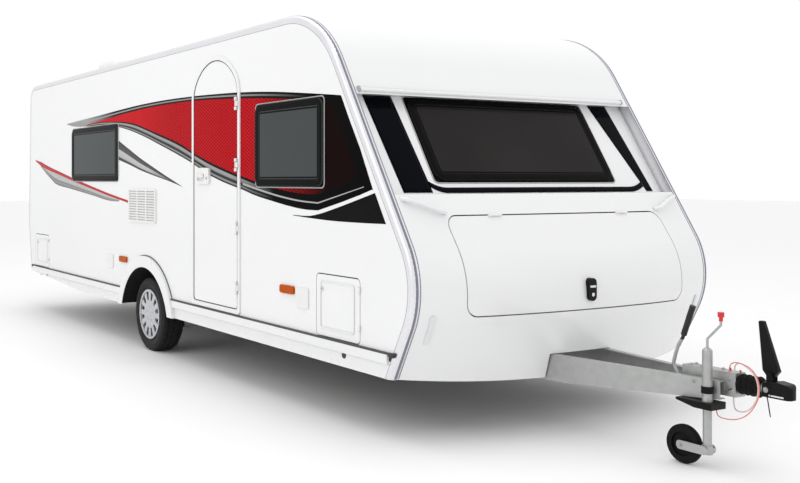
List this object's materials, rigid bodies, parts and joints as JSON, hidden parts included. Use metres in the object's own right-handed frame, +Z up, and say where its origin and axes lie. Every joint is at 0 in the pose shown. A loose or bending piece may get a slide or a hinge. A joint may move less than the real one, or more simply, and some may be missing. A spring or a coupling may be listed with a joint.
{
  "type": "travel caravan",
  "caption": "Single-axle travel caravan with sloping glazed front, gas locker, arched side door, overrun drawbar and jockey wheel.",
  "frame": {"origin": "on the ground in the middle of the caravan's length and width", "axes": "+X forward to the coupling, +Y to the left side, +Z up"},
  "size_m": [8.238, 2.41, 2.607],
  "materials": {
    "white_panel": "gloss white",
    "edge_aluminium": "satin",
    "skirt_white": "gloss white",
    "tinted_acrylic": "dark tinted",
    "hatch_plastic": "milky",
    "black_plastic": "matt black",
    "floor_board": "sealed plywood",
    "lamp_amber": "clear amber",
    "lamp_red": "clear red",
    "galvanised_steel": "hot-dip galvanised",
    "black_steel": "black",
    "rubber_black": "matt",
    "tyre_black": "matt",
    "rim_silver": "silver",
    "cable_red": "plastic-covered",
    "cable_pale": "plastic-covered"
  },
  "bodies": {
    "caravan": {"axle_tube": "galvanised_steel", "breakaway_cable": "cable_red", "chassis_member_left": "galvanised_steel", "chassis_member_right": "galvanised_steel", "coupling_head": "black_plastic", "cross_members": "galvanised_steel", "door_frame": "edge_aluminium", "edge_trim_left": "edge_aluminium", "edge_trim_right": "edge_aluminium", "floor_panel": "floor_board", "fridge_vent": "white_panel", "front_cap": "white_panel", "front_wall": "white_panel", "front_window": "tinted_acrylic", "grab_handles": "white_panel", "jockey_clamp": "black_steel", "jockey_crank": "galvanised_steel", "jockey_tube": "galvanised_steel", "lead_cable": "cable_pale", "marker_lamps": "lamp_amber", "nose_panel": "white_panel", "overrun_bellows": "rubber_black", "overrun_housing": "galvanised_steel", "rear_bumper": "white_panel", "rear_lamps": "lamp_red", "rear_wall": "white_panel", "rear_window": "tinted_acrylic", "roof_hatches": "hatch_plastic", "roof_panel": "white_panel", "roof_vent": "white_panel", "service_flaps": "white_panel", "side_wall_left": "white_panel", "side_wall_right": "white_panel", "side_windows": "tinted_acrylic", "skirt_left": "skirt_white", "skirt_right": "skirt_white", "steady_brackets": "galvanised_steel", "swing_arms": "galvanised_steel", "wheel_boxes": "black_plastic"},
    "wheel_right": {"tyre_right": "tyre_black", "rim_right": "rim_silver"},
    "wheel_left": {"tyre_left": "tyre_black", "rim_left": "rim_silver"},
    "door": {"entrance_door": "white_panel", "door_handle": "black_plastic"},
    "locker_lid": {"gas_locker_lid": "white_panel", "locker_latch": "black_plastic"},
    "hatch_front": {"service_door_front": "white_panel"},
    "hatch_rear": {"service_door_rear": "white_panel"},
    "hatch_left": {"service_door_left": "white_panel"},
    "brake_lever": {"handbrake_lever": "galvanised_steel"},
    "stay_lever": {"coupling_lever": "black_plastic"},
    "nose_stem": {"jockey_stem": "galvanised_steel"},
    "nose_fork": {"jockey_fork": "galvanised_steel"},
    "nose_wheel": {"jockey_wheel": "rubber_black"},
    "leg_front_right": {"steady_front_right": "galvanised_steel"},
    "leg_front_left": {"steady_front_left": "galvanised_steel"},
    "leg_rear_right": {"steady_rear_right": "galvanised_steel"},
    "leg_rear_left": {"steady_rear_left": "galvanised_steel"}
  },
  "joints": [
    {"name": "wheel_right_spin", "type": "hinge", "parent": "caravan", "child": "wheel_right", "pos_m": [-0.75, -1.05, 0.304], "axis": [0, 1, 0], "continuous": true},
    {"name": "wheel_left_spin", "type": "hinge", "parent": "caravan", "child": "wheel_left", "pos_m": [-0.75, 1.05, 0.304], "axis": [0, 1, 0], "continuous": true},
    {"name": "door_swing", "type": "hinge", "parent": "caravan", "child": "door", "pos_m": [0.8625, -1.195, 1.3], "axis": [0, 0, 1], "range_deg": [0, 165]},
    {"name": "locker_lid_lift", "type": "hinge", "parent": "caravan", "child": "locker_lid", "pos_m": [2.6881, 0, 1.2255], "axis": [0, 1, 0], "range_deg": [-75, 0]},
    {"name": "hatch_front_swing", "type": "hinge", "parent": "caravan", "child": "hatch_front", "pos_m": [2.3145, -1.1833, 0.675], "axis": [0, 0, 1], "range_deg": [0, 120]},
    {"name": "hatch_rear_swing", "type": "hinge", "parent": "caravan", "child": "hatch_rear", "pos_m": [-3.3695, -1.1833, 0.661], "axis": [0, 0, 1], "range_deg": [0, 120]},
    {"name": "hatch_left_swing", "type": "hinge", "parent": "caravan", "child": "hatch_left", "pos_m": [-2.8955, 1.1833, 0.661], "axis": [0, 0, 1], "range_deg": [-120, 0]},
    {"name": "brake_lever_swing", "type": "hinge", "parent": "caravan", "child": "brake_lever", "pos_m": [3.494, 0, 0.405], "axis": [0, 1, 0], "range_deg": [0, 30]},
    {"name": "stay_lever_swing", "type": "hinge", "parent": "caravan", "child": "stay_lever", "pos_m": [4.007, 0, 0.5], "axis": [0, 1, 0], "range_deg": [-40, 0]},
    {"name": "nose_stem_lift", "type": "slide", "parent": "caravan", "child": "nose_stem", "axis": [0, 0, 1], "range_m": [0, 0.05]},
    {"name": "nose_fork_swivel", "type": "hinge", "parent": "nose_stem", "child": "nose_fork", "pos_m": [3.745, -0.112, 0.098], "axis": [0, 0, 1], "continuous": true},
    {"name": "nose_wheel_spin", "type": "hinge", "parent": "nose_fork", "child": "nose_wheel", "pos_m": [3.615, -0.112, 0.098], "axis": [0, 1, 0], "continuous": true},
    {"name": "leg_front_right_swing", "type": "hinge", "parent": "caravan", "child": "leg_front_right", "pos_m": [1.997, -0.82, 0.385], "axis": [0, 1, 0], "range_deg": [-48, 0]},
    {"name": "leg_rear_right_swing", "type": "hinge", "parent": "caravan", "child": "leg_rear_right", "pos_m": [-3.559, -0.82, 0.385], "axis": [0, 1, 0], "range_deg": [0, 48]},
    {"name": "leg_front_left_swing", "type": "hinge", "parent": "caravan", "child": "leg_front_left", "pos_m": [1.997, 0.82, 0.385], "axis": [0, 1, 0], "range_deg": [-48, 0]},
    {"name": "leg_rear_left_swing", "type": "hinge", "parent": "caravan", "child": "leg_rear_left", "pos_m": [-3.559, 0.82, 0.385], "axis": [0, 1, 0], "range_deg": [0, 48]}
  ]
}
